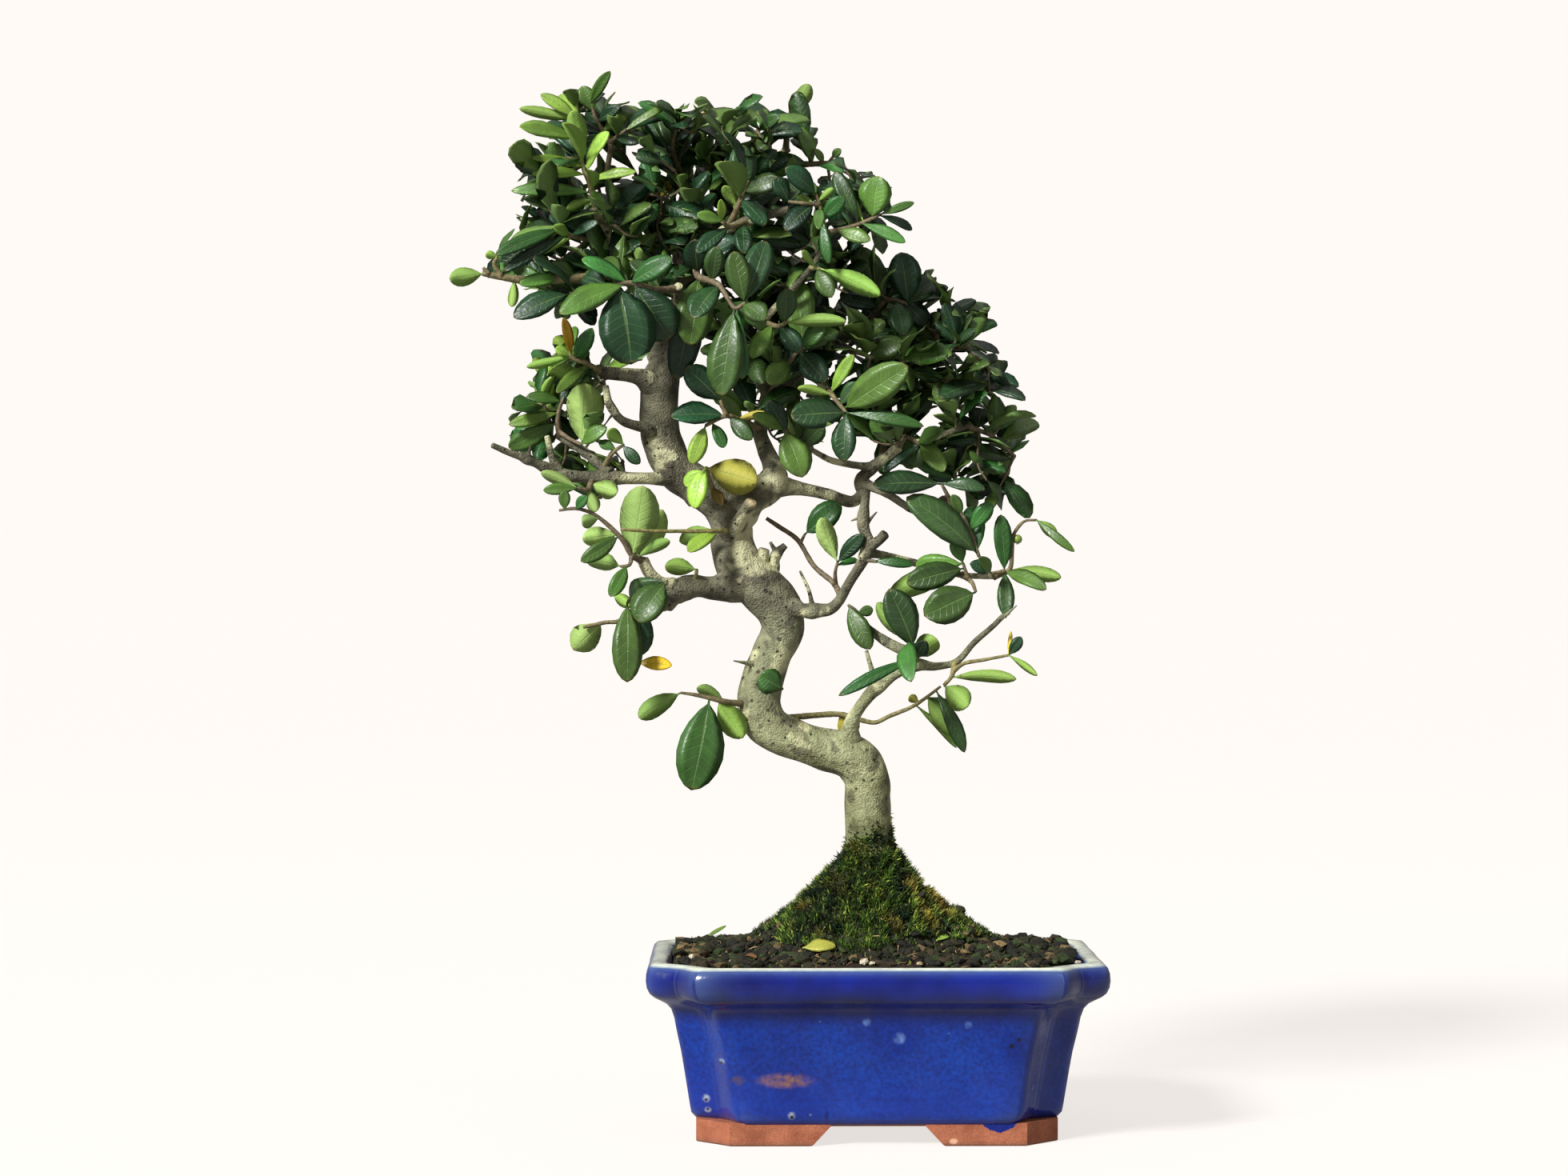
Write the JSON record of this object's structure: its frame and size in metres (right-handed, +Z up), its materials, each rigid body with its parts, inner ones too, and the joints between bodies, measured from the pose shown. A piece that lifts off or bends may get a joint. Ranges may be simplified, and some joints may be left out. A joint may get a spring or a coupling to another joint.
{
  "type": "pyracantha bonsai in a pot",
  "caption": "Informal upright firethorn bonsai with a winding trunk, open leafy sprays and mossy soil, in a rectangular glazed pot on feet.",
  "frame": {"origin": "under the middle of the whole object's bounding box, on the plane that the pot's feet stand on", "axes": "+Z up, along the trunk's growth; -Y is the front of the tree, as pictured; +X is to the right seen from the front"},
  "size_m": [0.2866, 0.1736, 0.4675],
  "materials": {
    "glaze": "gloss",
    "drain_mesh": "matte",
    "soil": "matte",
    "moss": "matte",
    "bark": "matte",
    "leaf": "satin"
  },
  "bodies": {
    "root": {"drain_mesh_left": "drain_mesh", "drain_mesh_right": "drain_mesh", "moss": "moss", "pot": "glaze", "soil": "soil", "spray_back_left": "leaf", "spray_back_middle": "leaf", "spray_back_right": "leaf", "spray_back_top": "leaf", "spray_bare_leaf": "leaf", "spray_centre_knobs": "leaf", "spray_centre_right": "leaf", "spray_centre_top": "leaf", "spray_centre_under": "leaf", "spray_diagonal_leaf": "leaf", "spray_far_left": "leaf", "spray_front_middle": "leaf", "spray_hidden_low": "leaf", "spray_hidden_middle": "leaf", "spray_hidden_upper": "leaf", "spray_inner_left": "leaf", "spray_left_cluster": "leaf", "spray_left_front": "leaf", "spray_left_inner": "leaf", "spray_left_low": "leaf", "spray_left_middle": "leaf", "spray_left_shoulder": "leaf", "spray_left_under": "leaf", "spray_left_upper": "leaf", "spray_low_left": "leaf", "spray_low_right_end": "leaf", "spray_low_right_inner": "leaf", "spray_low_right_middle": "leaf", "spray_low_right_upper": "leaf", "spray_low_stub_leaf": "leaf", "spray_mass_centre": "leaf", "spray_mass_far": "leaf", "spray_mass_low": "leaf", "spray_mass_right": "leaf", "spray_mass_upper": "leaf", "spray_right_edge": "leaf", "spray_right_hanging": "leaf", "spray_right_middle": "leaf", "spray_right_out": "leaf", "spray_right_sprig": "leaf", "spray_right_stub": "leaf", "spray_shoot_upper_left": "leaf", "spray_thin_twig": "leaf", "spray_top_left": "leaf", "spray_top_middle": "leaf", "spray_top_middle_left": "leaf", "spray_top_right": "leaf", "spray_top_round": "leaf", "spray_trunk_front": "leaf", "spray_trunk_leaf": "leaf", "spray_twig_behind": "leaf", "spray_twig_dark": "leaf", "spray_under_right": "leaf", "spray_under_right_2": "leaf", "trunk": "bark"}
  },
  "joints": []
}
